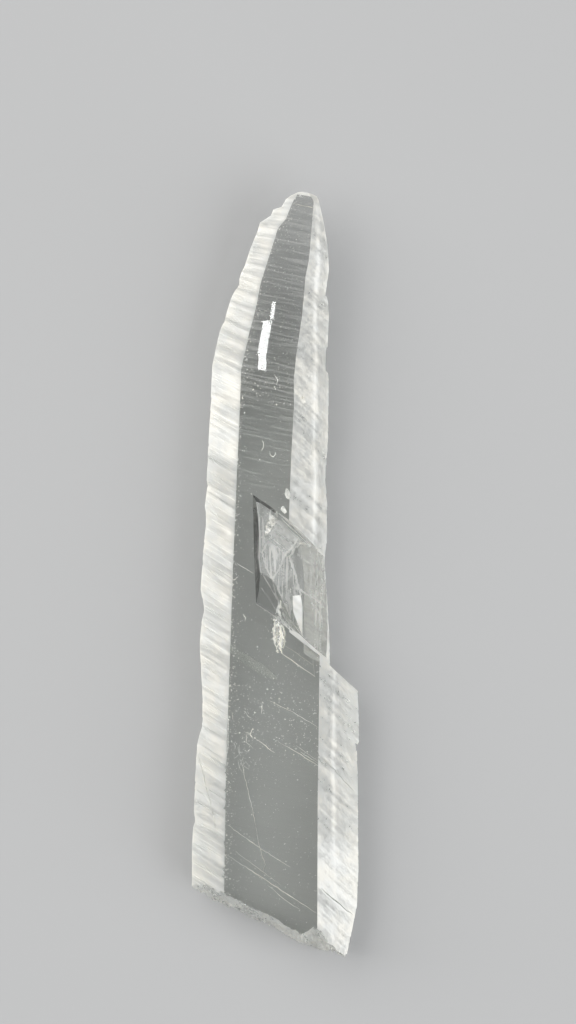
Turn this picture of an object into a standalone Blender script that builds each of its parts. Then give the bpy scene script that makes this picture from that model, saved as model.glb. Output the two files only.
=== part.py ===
"""A nifontovite blade: one clear, cleaved crystal that lies on its flat back face.

Metres, +Z up. +Y runs along the blade to its thin tip, +X to its right side, and the front face looks
up. The origin is on the resting plane, under the middle of the blade's bounding box. The blade grew
with bevelled long sides, and cleavage planes cross it aslant: they make the ledges on its sides, the
shoulder where it narrows, and the recess that was split out of its front face.
"""
import bisect
import math

import bmesh
import bpy
from mathutils import Vector, noise

MM = 0.001
NAME = "crystal"

# Driving dimensions, in millimetres unless a line says otherwise.
THICKNESS = 8.5
RIM_LEAN = 0.18                # how far the lower edge of each rim lies inside its upper edge
BACK_BEVEL = 3.3               # plan width of the two bevels under the rims
CLEAVAGE_LEAN = 0.15           # how far a cleavage plane runs down the length, per unit of depth
FOLD_SLOPE = 0.80              # run of a cleavage plane down the length per unit of width, past its fold
STATION_GAP = 0.12             # nearest that two sections may lie
BENCH_PITCH = 2.3              # mean length of one bench on the left bevel
BENCH_RISE = 0.17              # most that a bench stands off its bevel
BENCH_SEED = 4.3

# Shares of the local thickness, measured down from the front face.
LEFT_RIM_TOP = 0.335
LEFT_RIM_FOOT = 0.66
RIDGE_DEPTH = 0.24
RIGHT_RIM_TOP = 0.50
RIGHT_RIM_FOOT = 0.57
BEVEL_ROWS = (0.33, 0.68)      # where the two lines of bench corners lie across the left bevel

# Outlines are lists of (place along the length, value), from the broken base to the tip.
FRONT_HEIGHT = [(24.0, 8.5), (44.0, 7.7)]
BACK_HEIGHT = [(19.0, 0.0), (30.0, 1.6), (44.0, 6.0)]
CLEAVAGE_SLOPE = [(-44.0, 0.70), (-6.0, 0.74), (10.0, 0.70), (24.0, 0.60), (36.0, 0.36), (44.0, 0.16)]
CLEAVAGE_FOLD = [(-44.0, 4.9), (-5.5, 5.07), (2.0, 2.2), (22.0, 2.3), (36.0, 3.9), (44.0, 5.0)]
LEFT_RIM = [
    (-50.0, -9.7), (-31.1, -9.61), (-29.1, -9.50), (-28.4, -9.27), (-27.1, -9.39), (-23.6, -9.27),
    (-19.6, -9.04), (-17.0, -8.43), (-14.1, -8.41), (-8.1, -8.72), (-5.8, -8.58), (-4.3, -8.27),
    (-3.6, -8.24), (-1.8, -8.62), (3.4, -8.29), (5.7, -8.01), (7.2, -8.01), (7.9, -8.14),
    (10.4, -7.83), (10.9, -7.93), (15.5, -7.70), (20.1, -7.45), (24.2, -7.28), (27.2, -6.62),
    (28.3, -6.34), (29.2, -5.88), (30.7, -5.47), (31.8, -5.13), (32.7, -4.67), (33.4, -4.17),
    (34.0, -4.17), (34.8, -3.92), (35.6, -3.51), (37.4, -2.94), (39.5, -2.07), (40.5, -1.79),
    (41.3, -0.55), (42.0, -0.25), (42.3, 0.69), (43.2, 1.21), (43.6, 1.75), (44.0, 2.55),
]
LEFT_FACE_EDGE = [
    (-50.0, -6.1), (-23.6, -5.70), (-11.0, -5.28), (1.7, -4.84), (12.1, -4.40), (19.0, -4.09),
    (23.6, -3.94), (27.8, -3.00), (30.6, -2.25), (33.6, -1.67), (36.3, -0.81), (39.8, 0.29),
    (40.9, 1.21), (42.8, 1.96), (43.6, 2.48), (44.0, 2.80),
]
UPPER_FACE_EDGE = [
    (-14.0, 1.60), (6.9, 1.56), (13.2, 1.79), (19.6, 2.13), (22.7, 2.13), (25.5, 2.42), (29.7, 3.05),
    (34.3, 3.46), (36.3, 3.86), (42.9, 4.40), (44.0, 3.80),
]
UPPER_RIDGE = [
    (-14.0, 4.50), (3.4, 4.38), (10.9, 4.67), (15.5, 4.49), (24.7, 4.67), (31.7, 4.55), (36.0, 4.95),
    (38.6, 4.90), (42.9, 4.70), (44.0, 4.05),
]
UPPER_RIM = [
    (-14.0, 6.40), (-5.8, 6.16), (-0.6, 5.82), (1.7, 5.64), (3.7, 5.92), (8.3, 5.97), (10.9, 5.74),
    (16.1, 6.08), (22.4, 6.13), (24.7, 5.93), (29.8, 6.16), (31.4, 6.05), (32.5, 5.80), (35.1, 6.16),
    (38.0, 5.99), (40.9, 5.47), (43.1, 4.95), (43.6, 4.70), (44.0, 4.30),
]
LOWER_FACE_EDGE = [(-50.0, 4.78), (-26.0, 4.84), (-9.0, 5.07)]
LOWER_RIDGE = [(-50.0, 6.74), (-20.0, 6.68), (-10.0, 6.74)]
LOWER_RIM = [
    (-44.4, 8.10), (-42.5, 8.52), (-38.2, 9.39), (-34.0, 9.57), (-23.1, 9.48), (-20.2, 9.39),
    (-19.3, 9.60), (-17.9, 9.62), (-13.3, 9.50),
]
SHOULDER_CUT = -5.5            # the cleavage plane at the shoulder, where it crosses the middle line
BASE_CUT = -47.0
TIP_CUT = 44.33

# The rough break across the base: its upper edge on the front face and its lower edge on the back.
BREAK_FRONT = [
    (-11.0, -34.1), (-0.7, -39.0), (2.3, -40.7), (2.9, -41.3), (4.3, -40.3), (5.2, -40.6), (8.2, -43.7),
    (11.0, -44.4),
]
BREAK_BACK = [(-11.0, -35.6), (-0.5, -40.6), (2.9, -42.6), (6.3, -43.7), (8.2, -44.1), (11.0, -44.4)]
BREAK_COLUMNS = 22
BREAK_ROWS = 9
BREAK_ROUGHNESS = 0.55
BREAK_GRAIN = 0.55             # bumps per millimetre on the break

# The recess in the front face. Each piece that was split out is a convex body: its rim is a list of
# (x, y) corners on the front face, and its floor a list of (x, y, z) corners inside the blade.
SHELF_RIM = [(-2.50, 9.25), (3.97, 4.20), (8.5, -0.4), (8.5, -11.3), (-2.28, -3.45)]
SHELF_FLOOR = [
    (-1.95, 8.0, 7.8), (-1.80, 2.2, 6.9), (-1.85, 0.2, 6.8), (-0.30, -0.3, 6.1), (0.90, 2.3, 5.8),
    (2.70, 3.2, 5.4), (1.20, -3.4, 5.3), (3.20, -6.6, 4.9), (8.5, -1.0, 4.3), (8.5, -10.6, 4.2),
]
WINDOW_RIM = [(1.2, 2.0), (2.6, 4.0), (5.4, 2.6), (8.5, 0.4), (8.5, -11.2), (3.4, -7.0), (1.9, -2.4)]
WINDOW_FLOOR = [
    (1.7, 1.4, 4.9), (2.8, 3.4, 4.8), (5.3, 2.1, 4.6), (8.5, 0.0, 4.2), (8.5, -10.9, 4.2), (3.8, -6.8, 4.75),
    (2.4, -2.4, 4.8),
]
STEP_COUNT = 3
STEP_START = (0.9, 6.55)       # where the first ledge above the recess begins on the front face
STEP_SHIFT = (0.55, -0.12)     # from the start of one ledge to the next, along the recess's upper edge
STEP_FLOOR = 6.3               # height of the lowest ledge
STEP_RISE = 0.65
STEP_SLOPE = 1.02              # run down the length of the ledges, per unit of width

# Small chips: where each lies on the surface, its length, width and depth, and its turn in degrees.
CHIPS = [
    ((1.35, 9.3, 8.5), 1.5, 0.7, 0.5, -80.0),
    ((0.95, 7.5, 8.5), 1.1, 0.7, 0.5, -60.0),
    ((5.95, 24.6, 4.5), 3.8, 0.8, 1.2, -87.0),
    ((2.9, 20.4, 7.7), 2.4, 0.7, 0.4, -50.0),
    ((5.75, 32.4, 5.2), 1.2, 0.9, 1.0, -60.0),
    ((9.3, -19.8, 4.3), 1.3, 0.6, 1.0, -70.0),
]
CHIP_CORNERS = 14
CHIP_SEED = 11


def value_at(outline, place):
    """Value of an outline at one place, held level past its ends."""
    index = bisect.bisect([pair[0] for pair in outline], place)
    index = min(max(index, 1), len(outline) - 1)
    start, end = outline[index - 1], outline[index]
    share = (place - start[0]) / (end[0] - start[0])
    return start[1] + min(max(share, 0.0), 1.0) * (end[1] - start[1])


def cleavage_y(cut, x, depth):
    """Place along the length of the cleavage plane called cut, at one width and depth."""
    fold = value_at(CLEAVAGE_FOLD, cut)
    past_fold = max(x - fold, 0.0)
    return cut - value_at(CLEAVAGE_SLOPE, cut) * min(x, fold) - FOLD_SLOPE * past_fold - CLEAVAGE_LEAN * depth


def thickness_at(cut):
    return value_at(FRONT_HEIGHT, cut) - value_at(BACK_HEIGHT, cut)


def cut_through(x, y, depth_share):
    """The cleavage plane that passes through one point of an outline."""
    low, high = -70.0, 70.0
    for _ in range(40):
        cut = (low + high) / 2
        if cleavage_y(cut, x, depth_share * thickness_at(cut)) < y:
            low = cut
        else:
            high = cut
    return cut


def outline_x(outline, cut, depth):
    """Width at which a cleavage plane meets an outline."""
    low, high = -70.0, 70.0
    for _ in range(40):
        y = (low + high) / 2
        if cleavage_y(cut, value_at(outline, y), depth) > y:
            low = y
        else:
            high = y
    return value_at(outline, y)


def bench_rise(cut, row):
    """Height of a bench above the left bevel: each starts high at its ledge and falls away from it."""
    bench = math.floor(cut / BENCH_PITCH)
    along = cut / BENCH_PITCH - bench
    return BENCH_RISE * (0.35 + 0.65 * abs(noise.noise(Vector((bench * 1.7, row * 2.9, BENCH_SEED))))) * along


def section(cut, below_shoulder):
    """Corners of the blade on one cleavage plane, in order round it, in metres."""
    front = value_at(FRONT_HEIGHT, cut)
    thick = thickness_at(cut)
    scale = thick / THICKNESS
    face_edge = LOWER_FACE_EDGE if below_shoulder else UPPER_FACE_EDGE
    ridge = LOWER_RIDGE if below_shoulder else UPPER_RIDGE
    rim = LOWER_RIM if below_shoulder else UPPER_RIM
    left_edge = outline_x(LEFT_FACE_EDGE, cut, 0.0)
    left_rim = outline_x(LEFT_RIM, cut, LEFT_RIM_TOP * thick)
    right_rim = outline_x(rim, cut, RIGHT_RIM_TOP * thick)
    bevel_angle = math.atan2(LEFT_RIM_TOP * thick, left_edge - left_rim)
    corners = [(left_edge, 0.0)]
    for row, share in enumerate(BEVEL_ROWS):
        rise = bench_rise(cut, row) * scale
        x = left_edge + share * (left_rim - left_edge) - rise * math.sin(bevel_angle)
        corners.append((x, share * LEFT_RIM_TOP * thick - rise * math.cos(bevel_angle)))
    corners += [
        (left_rim, LEFT_RIM_TOP * thick),
        (left_rim + RIM_LEAN * scale, LEFT_RIM_FOOT * thick),
        (left_rim + BACK_BEVEL * scale, thick),
        (right_rim - BACK_BEVEL * scale, thick),
        (right_rim - RIM_LEAN * scale, RIGHT_RIM_FOOT * thick),
        (right_rim, RIGHT_RIM_TOP * thick),
        (outline_x(ridge, cut, RIDGE_DEPTH * thick), RIDGE_DEPTH * thick),
        (outline_x(face_edge, cut, 0.0), 0.0),
    ]
    return [Vector((x, cleavage_y(cut, x, depth), front - depth)) * MM for x, depth in corners]


def stations():
    """Cleavage planes where the blade has a corner, from the base to the tip."""
    cuts = [BASE_CUT, TIP_CUT]
    cuts += [cut_through(x, y, LEFT_RIM_TOP) for y, x in LEFT_RIM[1:-1]]
    cuts += [cut_through(x, y, RIGHT_RIM_TOP) for y, x in LOWER_RIM if y < -14.0]
    cuts += [cut_through(x, y, RIGHT_RIM_TOP) for y, x in UPPER_RIM[1:-1]]
    cuts += [place for place, _ in FRONT_HEIGHT[:1] + BACK_HEIGHT[:2]]
    for bench in range(math.ceil(BASE_CUT / BENCH_PITCH), math.floor(TIP_CUT / BENCH_PITCH)):
        cuts += [bench * BENCH_PITCH, bench * BENCH_PITCH - STATION_GAP]
    kept = [SHOULDER_CUT, SHOULDER_CUT + STATION_GAP]
    for cut in sorted(cuts):
        inside = BASE_CUT <= cut <= TIP_CUT
        if inside and all(abs(cut - other) > 0.9 * STATION_GAP for other in kept):
            kept.append(cut)
    return sorted(kept)


def close_end(shape, ring, tip):
    """Fan of faces from a ring of corners to one point."""
    point = shape.verts.new(tip)
    for first, second in zip(ring, ring[1:] + ring[:1]):
        shape.faces.new((first, second, point))


def build_blade():
    """The whole blade as a loft through its cleavage sections, before anything is split out of it."""
    shape = bmesh.new()
    rings = []
    for cut in stations():
        corners = section(cut, cut <= SHOULDER_CUT)
        rings.append([shape.verts.new(corner) for corner in corners])
    last = [vert.co.copy() for vert in rings[-1]]
    middle = sum(last, Vector()) / len(last)
    ahead = Vector((0.0, 0.22 * MM, 0.0))
    rings.append([shape.verts.new(middle.lerp(corner, 0.6) + ahead) for corner in last])
    for lower, upper in zip(rings, rings[1:]):
        for index in range(len(lower)):
            after = (index + 1) % len(lower)
            shape.faces.new((lower[index], lower[after], upper[after], upper[index]))
    base = [vert.co for vert in rings[0]]
    close_end(shape, rings[0], sum(base, Vector()) / len(base))
    close_end(shape, rings[-1], middle + 1.4 * ahead)
    bmesh.ops.recalc_face_normals(shape, faces=shape.faces)
    return shape


def build_piece(rim, floor):
    """A convex piece that was split out: its rim is carried up past the front face."""
    shape = bmesh.new()
    for x, y in rim:
        for z in (THICKNESS, THICKNESS + 1.5):
            shape.verts.new(Vector((x, y, z)) * MM)
    for corner in floor:
        shape.verts.new(Vector(corner) * MM)
    bmesh.ops.convex_hull(shape, input=shape.verts)
    return shape


def build_step(number):
    """One of the parallel ledges on the upper wall of the recess."""
    x = STEP_START[0] + number * STEP_SHIFT[0]
    y = STEP_START[1] + number * STEP_SHIFT[1]
    z = STEP_FLOOR + number * STEP_RISE
    far = SHELF_RIM[2][0]
    end = y - STEP_SLOPE * (far - x)
    rim = [(x, y), (far, end), (far, end - 4.0), (x - 0.2, y - 1.5)]
    floor = [(corner_x, corner_y - 0.1, z) for corner_x, corner_y in rim]
    return build_piece(rim, floor)


def build_chip(place, length, width, depth, turn):
    """A small irregular flake, sunk in the surface at one place."""
    shape = bmesh.new()
    angle = math.radians(turn)
    for corner in range(CHIP_CORNERS):
        spread = noise.random_unit_vector()
        along, across = spread.x * length / 2, spread.y * width / 2
        x = place[0] + along * math.cos(angle) - across * math.sin(angle)
        y = place[1] + along * math.sin(angle) + across * math.cos(angle)
        shape.verts.new(Vector((x, y, place[2] + spread.z * depth)) * MM)
    bmesh.ops.convex_hull(shape, input=shape.verts)
    return shape


def build_break():
    """Everything past the rough break at the base: a block whose near face is hackly."""
    shape = bmesh.new()
    bmesh.ops.create_grid(shape, x_segments=BREAK_COLUMNS, y_segments=BREAK_ROWS, size=1.0)
    for vert in shape.verts:
        x = 10.8 * vert.co.x
        height = THICKNESS * (0.5 + 0.62 * vert.co.y)
        share = min(max(height / THICKNESS, 0.0), 1.0)
        y = value_at(BREAK_BACK, x) + share * (value_at(BREAK_FRONT, x) - value_at(BREAK_BACK, x))
        edge = math.sin(math.pi * share)
        rough = noise.cell(Vector((x * BREAK_GRAIN, height * BREAK_GRAIN * 0.8, 2.0))) - 0.5
        rough += noise.noise(Vector((x * 0.9, height * 0.9, 7.0)))
        vert.co = Vector((x, y + BREAK_ROUGHNESS * rough * (0.35 + 0.65 * edge), height)) * MM
    near = list(shape.faces)
    moved = bmesh.ops.extrude_face_region(shape, geom=near)["geom"]
    for vert in moved:
        if isinstance(vert, bmesh.types.BMVert):
            vert.co.y = -55.0 * MM
    bmesh.ops.recalc_face_normals(shape, faces=shape.faces)
    return shape


def add_object(name, shape, collection):
    """Blender object from a finished shape."""
    mesh = bpy.data.meshes.new(name)
    shape.to_mesh(mesh)
    shape.free()
    thing = bpy.data.objects.new(name, mesh)
    collection.objects.link(thing)
    return thing


def cut_away(thing, name, shape, cutters):
    """Take one shape out of the crystal."""
    cutter = add_object(name, shape, cutters)
    cutter.hide_render = True
    cutter.display_type = "WIRE"
    modifier = thing.modifiers.new(name, "BOOLEAN")
    modifier.operation = "DIFFERENCE"
    modifier.solver = "EXACT"
    modifier.object = cutter


def crystal_material():
    """Colourless, glassy borate."""
    material = bpy.data.materials.new("clear_crystal")
    material.use_nodes = True
    shader = material.node_tree.nodes["Principled BSDF"]
    shader.inputs["Base Color"].default_value = (0.93, 0.95, 0.95, 1.0)
    shader.inputs["Roughness"].default_value = 0.08
    shader.inputs["Metallic"].default_value = 0.0
    shader.inputs["IOR"].default_value = 1.58
    shader.inputs["Transmission Weight"].default_value = 1.0
    return material


def main():
    for thing in list(bpy.data.objects):
        bpy.data.objects.remove(thing, do_unlink=True)
    parts = bpy.data.collections.new("nifontovite_specimen")
    cutters = bpy.data.collections.new("cutters")
    for collection in (parts, cutters):
        bpy.context.scene.collection.children.link(collection)
    crystal = add_object(NAME, build_blade(), parts)
    crystal.data.materials.append(crystal_material())
    noise.seed_set(CHIP_SEED)
    cut_away(crystal, "base_break", build_break(), cutters)
    cut_away(crystal, "recess_shelf", build_piece(SHELF_RIM, SHELF_FLOOR), cutters)
    cut_away(crystal, "recess_window", build_piece(WINDOW_RIM, WINDOW_FLOOR), cutters)
    for number in range(STEP_COUNT):
        cut_away(crystal, f"recess_step_{number + 1}", build_step(number), cutters)
    for number, chip in enumerate(CHIPS, 1):
        cut_away(crystal, f"chip_{number}", build_chip(*chip), cutters)


main()
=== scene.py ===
import math
from functools import partial

import bmesh
import bpy
import numpy as np
from mathutils import Matrix, Vector, noise
from mathutils.bvhtree import BVHTree
from mathutils.geometry import delaunay_2d_cdt


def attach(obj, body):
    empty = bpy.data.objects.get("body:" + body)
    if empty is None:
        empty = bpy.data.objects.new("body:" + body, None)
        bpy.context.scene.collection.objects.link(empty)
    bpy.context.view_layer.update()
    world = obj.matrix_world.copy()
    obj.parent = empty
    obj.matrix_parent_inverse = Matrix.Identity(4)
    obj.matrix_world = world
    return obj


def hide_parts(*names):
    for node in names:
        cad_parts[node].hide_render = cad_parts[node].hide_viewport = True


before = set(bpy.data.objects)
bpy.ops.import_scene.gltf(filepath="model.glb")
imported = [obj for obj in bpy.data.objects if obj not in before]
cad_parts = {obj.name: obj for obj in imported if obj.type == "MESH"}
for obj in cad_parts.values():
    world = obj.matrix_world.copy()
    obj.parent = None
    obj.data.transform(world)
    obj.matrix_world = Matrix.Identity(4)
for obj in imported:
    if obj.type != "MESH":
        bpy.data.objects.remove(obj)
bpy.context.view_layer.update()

MM = 0.001
NODE = "crystal"

# Form: the solid's values, but for a narrower back bevel and an end facet at the tip.
THICKNESS = 8.5
RIM_LEAN = 0.18
BACK_BEVEL = 3.0
CLEAVAGE_LEAN = 0.15
FOLD_SLOPE = 0.80
STATION_GAP = 0.12
LEAST_SHARE = 0.35  # how far relief fades towards its edges
SEARCH_REACH = 70.0  # every place along the blade lies within this
HALVINGS = 36
BENCH_PITCH = 2.3
BENCH_RISE = 0.17
BENCH_SEED = 4.3
BENCH_STEP = 1.7  # steps through the noise, from bench to bench and from row to row
ROW_STEP = 2.9
LEFT_RIM_TOP = 0.335
LEFT_RIM_FOOT = 0.66
RIDGE_DEPTH = 0.24
RIGHT_RIM_TOP = 0.50
RIGHT_RIM_FOOT = 0.57
BEVEL_ROWS = (0.33, 0.68)
FRONT_HEIGHT = [(24, 8.5), (43, 7.74), (44.33, 7.45)]  # the last slope is the end facet
BACK_HEIGHT = [(19, 0), (30, 1.6), (44, 6)]
CLEAVAGE_SLOPE = [(-44, 0.7), (-6, 0.74), (10, 0.7), (24, 0.6), (36, 0.36), (44, 0.16)]
CLEAVAGE_FOLD = [(-44, 4.9), (-5.5, 5.07), (2, 2.2), (22, 2.3), (36, 3.9), (44, 5)]
LEFT_RIM = [
    (-50, -9.7), (-31.1, -9.61), (-29.1, -9.5), (-28.4, -9.27), (-27.1, -9.39), (-23.6, -9.27),
    (-19.6, -9.04), (-17, -8.43), (-14.1, -8.41), (-8.1, -8.72), (-5.8, -8.58), (-4.3, -8.27),
    (-3.6, -8.24), (-1.8, -8.62), (3.4, -8.29), (5.7, -8.01), (7.2, -8.01), (7.9, -8.14), (10.4, -7.83),
    (10.9, -7.93), (15.5, -7.7), (20.1, -7.45), (24.2, -7.28), (27.2, -6.62), (28.3, -6.34), (29.2, -5.88),
    (30.7, -5.47), (31.8, -5.13), (32.7, -4.67), (33.4, -4.17), (34, -4.17), (34.8, -3.92), (35.6, -3.51),
    (37.4, -2.94), (39.5, -2.07), (40.5, -1.79), (41.3, -0.55), (42, -0.25), (42.3, 0.69), (43.2, 1.21),
    (43.6, 1.75), (44, 2.55),
]
LEFT_FACE_EDGE = [
    (-50, -6.1), (-23.6, -5.7), (-11, -5.28), (1.7, -4.84), (12.1, -4.4), (19, -4.09), (23.6, -3.94),
    (27.8, -3), (30.6, -2.25), (33.6, -1.67), (36.3, -0.81), (39.8, 0.29), (40.9, 1.21), (42.8, 1.96),
    (43.6, 2.48), (44, 2.8),
]
UPPER_FACE_EDGE = [
    (-14, 1.6), (6.9, 1.56), (13.2, 1.79), (19.6, 2.13), (22.7, 2.13), (25.5, 2.42), (29.7, 3.05),
    (34.3, 3.46), (36.3, 3.86), (42.9, 4.4), (44, 3.8),
]
UPPER_RIDGE = [
    (-14, 4.5), (3.4, 4.38), (10.9, 4.67), (15.5, 4.49), (24.7, 4.67), (31.7, 4.55), (36, 4.95),
    (38.6, 4.9), (42.9, 4.7), (44, 4.05),
]
UPPER_RIM = [
    (-14, 6.4), (-5.8, 6.16), (-0.6, 5.82), (1.7, 5.64), (3.7, 5.92), (8.3, 5.97), (10.9, 5.74),
    (16.1, 6.08), (22.4, 6.13), (24.7, 5.93), (29.8, 6.16), (31.4, 6.05), (32.5, 5.8), (35.1, 6.16),
    (38, 5.99), (40.9, 5.47), (43.1, 4.95), (43.6, 4.7), (44, 4.3),
]
LOWER_FACE_EDGE = [(-50, 4.78), (-26, 4.84), (-9, 5.07)]
LOWER_RIDGE = [(-50, 6.74), (-20, 6.68), (-10, 6.74)]
LOWER_RIM = [
    (-44.4, 8.1), (-42.5, 8.52), (-38.2, 9.39), (-34, 9.57), (-23.1, 9.48), (-20.2, 9.39), (-19.3, 9.6),
    (-17.9, 9.62), (-13.3, 9.5),
]
# The long edges: the outline below the shoulder, the one above it, and the depth in thicknesses.
EDGES = {
    "left_rim": (LEFT_RIM, LEFT_RIM, LEFT_RIM_TOP), "left_edge": (LEFT_FACE_EDGE, LEFT_FACE_EDGE, 0),
    "right_edge": (LOWER_FACE_EDGE, UPPER_FACE_EDGE, 0), "ridge": (LOWER_RIDGE, UPPER_RIDGE, RIDGE_DEPTH),
    "right_rim": (LOWER_RIM, UPPER_RIM, RIGHT_RIM_TOP),
}
# The long sides, in turn: zone, the edge that each begins at or near, how far from it, and the depth.
SIDES = [
    ("bevel", "left_edge", 0, 0), ("rim", "left_rim", 0, LEFT_RIM_TOP),
    ("back_bevel", "left_rim", RIM_LEAN, LEFT_RIM_FOOT), ("back", "left_rim", BACK_BEVEL, 1),
    ("back_bevel", "right_rim", -BACK_BEVEL, 1), ("right_rim", "right_rim", -RIM_LEAN, RIGHT_RIM_FOOT),
    ("outer", "right_rim", 0, RIGHT_RIM_TOP), ("inner", "ridge", 0, RIDGE_DEPTH),
    ("face", "right_edge", 0, 0),
]
SHOULDER_CUT = -5.5
BASE_CUT = -47.0
TIP_CUT = 44.33
BREAK_FRONT = [
    (-11, -34.1), (-0.7, -39), (2.3, -40.7), (2.9, -41.3), (4.3, -40.3), (5.2, -40.6), (8.2, -43.7),
    (11, -44.4),
]
BREAK_BACK = [(-11, -35.6), (-0.5, -40.6), (2.9, -42.6), (6.3, -43.7), (8.2, -44.1), (11, -44.4)]
# The recess in the front face. Its floor is a sheet of facets between these lines of (x, y, height)
# corners; the first line is its outer edge, and lines that meet share a corner.
RECESS_EDGE = [
    (-2.59, 9.22, 8.5), (0.14, 7.37, 8.5), (0.85, 6.15, 6.75), (2.62, 4.2, 5.9), (3.97, 3.4, 4.75),
    (5.51, 2.2, 4.45), (8.5, -0.6, 4.1), (8.5, -11.3, 4.1), (6.08, -9.75, 4.7), (4.93, -8.95, 8.5),
    (3.02, -7.42, 8.5), (1.47, -6.17, 8.5), (-0.44, -4.54, 8.5), (-2.21, -3.39, 8.5), (-2.45, 1.9, 8.5),
]
LEFT_WALL_FOOT = RECESS_EDGE[:1] + [
    (-2.22, 8.4, 7.85), (-1.98, 6.5, 7.55), (-1.88, 4.58, 7.25), (-1.98, 2.08, 7), (-1.78, 0.35, 6.8),
    (-1.88, -1.6, 7.25),
] + RECESS_EDGE[13:14]
UPPER_WALL_FOOT = LEFT_WALL_FOOT[1:2] + [(-1.75, 8.28, 7.65), (-0.02, 7.08, 7.3)] + RECESS_EDGE[1:2]
LOWER_WALL_FOOT = LEFT_WALL_FOOT[5:6] + [
    (-0.35, -0.55, 6), (0.25, -1.7, 5.65), (1.3, -4, 5.2), (2.05, -5.8, 4.95), (3.11, -7.05, 4.75),
    (4.8, -8.6, 4.65),
] + RECESS_EDGE[8:9]
LOWER_WALL_BEVEL = RECESS_EDGE[12:13] + [
    (0.35, -4.75, 8), (1.7, -5.95, 8), (3.15, -7.2, 7.9),
] + RECESS_EDGE[9:10]
LOWER_WALL_SLIVER = LOWER_WALL_FOOT[1:2] + [(0.1, -2.4, 6.45), (0.95, -4.4, 6.6)] + LOWER_WALL_FOOT[4:5]
SPECKLED_FACET = [
    (-0.63, 7.1, 7.35), (0.23, 6.35, 6.95), (-0.35, 5.35, 6.75), (-1.21, 4.3, 6.95), (-1.12, 5.6, 7.25),
]
UPPER_FACET = SPECKLED_FACET[1:2] + RECESS_EDGE[2:4] + [
    (2.05, 3.3, 5.6), (1.09, 2.28, 5.75), (0.32, 3.14, 6.15), (-1.01, 3.68, 6.85),
] + SPECKLED_FACET[2:3]
HATCHED_FACET = UPPER_FACET[6:7] + [
    (-1.55, 2.6, 6.95), (-1.06, 0.74, 6.5), LOWER_WALL_FOOT[1], (0.52, 0.84, 5.8),
] + UPPER_FACET[4:6]
WINDOW_FACET = [
    (1.62, 2.1, 5.05), (2.12, 2.88, 4.95), (2.8, 3.62, 4.85),
] + RECESS_EDGE[4:9] + LOWER_WALL_FOOT[6:4:-1] + [
    (3.11, -3.68, 4.65), (2.91, -2.33, 4.75), (2.25, 0.17, 4.95),
]
WEDGE_FACET = [(1.96, -2.43, 5.35)] + WINDOW_FACET[11:9:-1] + [
    LOWER_WALL_FOOT[5], (2.63, -5.85, 5.2), (2.05, -4.26, 5.45),
]
LEFT_WALL = LEFT_WALL_FOOT + RECESS_EDGE[-1:]
UPPER_WALL = RECESS_EDGE[:1] + UPPER_WALL_FOOT[::-1]
LOWER_WALL = LOWER_WALL_FOOT + LOWER_WALL_BEVEL[::-1] + LEFT_WALL_FOOT[:-3:-1]
# What each part of the recess floor is. The first one that holds a place decides.
RECESS_ZONES = [
    ("wall", LEFT_WALL), ("wall", UPPER_WALL), ("speckled", SPECKLED_FACET), ("hatched", HATCHED_FACET),
    ("wedge", WEDGE_FACET), ("window", WINDOW_FACET), ("granular", UPPER_FACET), ("lower_wall", LOWER_WALL),
]
# Unevenness of the floor: height, bumps per millimetre across and along, and where its noise starts.
RECESS_RELIEF = {
    "recess": (0.05, 1.1, 0.7, 3.0), "hatched": (0.06, 2.6, 0.5, 5.0), "granular": (0.07, 2.6, 2.6, 7.0),
    "window": (0.045, 1.9, 0.16, 9.0),
}
SPECKLE_RELIEF = 0.20
SPECKLES = 3.6  # speckles per millimetre
# Bright lines of extra frosting in the recess: strength, then their points. Most follow a facet's edge, and
# there they are painted highlights.
BRIGHT_LINES = [
    (0.9, [(1.09, 2.28), (2.05, 3.3), (2.62, 4.2), (2.8, 3.62), (3.97, 3.4)]),
    (0.7, WINDOW_FACET[:1] + WINDOW_FACET[:-3:-1]),
    (0.5, WINDOW_FACET[:3]),
    (0.6, RECESS_EDGE[9:13]),
    (0.5, LOWER_WALL_BEVEL[1:4]),
    (0.45, LOWER_WALL_SLIVER),
    (0.5, LOWER_WALL_FOOT[2:6]),
    (0.45, HATCHED_FACET[:6]),
    (0.35, HATCHED_FACET[5:] + HATCHED_FACET[:1]),
    (0.9, [(2.35, -1.5), (2.95, -1.75), (3.35, -2.15)]),
    (0.5, [(3.35, -2.15), (4.3, -2.6), (5.3, -3.3)]),
    (0.3, [(4.1, -3.2), (4.9, -4.1), (5.4, -5.2)]),
    (0.4, LEFT_WALL_FOOT[1:6]),
    (0.7, RECESS_EDGE[12:14]),
    (0.45, [(-1.78, 0.35), (-0.9, -0.85), (0, -2.4), (0.95, -4.75), (2.05, -6.2), (3.2, -7.35)]),
    (0.35, [(-1.6, -1.5), (-0.5, -3.1), (0.7, -5)]),
]
BRIGHT_LINE_WIDTH = 0.09
WINDOW_LINES = [  # upright lines on the recess floor: place and strength
    (0.4, 0.3), (0.86, 0.35), (1.32, 0.45), (1.79, 0.3), (4.1, 0.12), (4.78, 0.32), (5.36, 0.4),
]
WINDOW_LINE_WIDTH = 0.11
WINDOW_LINES_TOP = 3.0  # where those lines begin, and how soon they reach full strength
WINDOW_LINES_FADE = 1.5
WINDOW_LINES_LEAN = 0.03
RECESS_GRAIN = 0.17  # spacing of the corners in the recess floor
ROW_SPACING = 0.87  # spacing of their rows, in grains
RECESS_OVER = 1.2  # how far the cutting bodies stand out of the front face
INSIDE_ONLY = 1  # a triangulation that keeps only what lies inside its lines
MERGE = 1e-5

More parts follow.
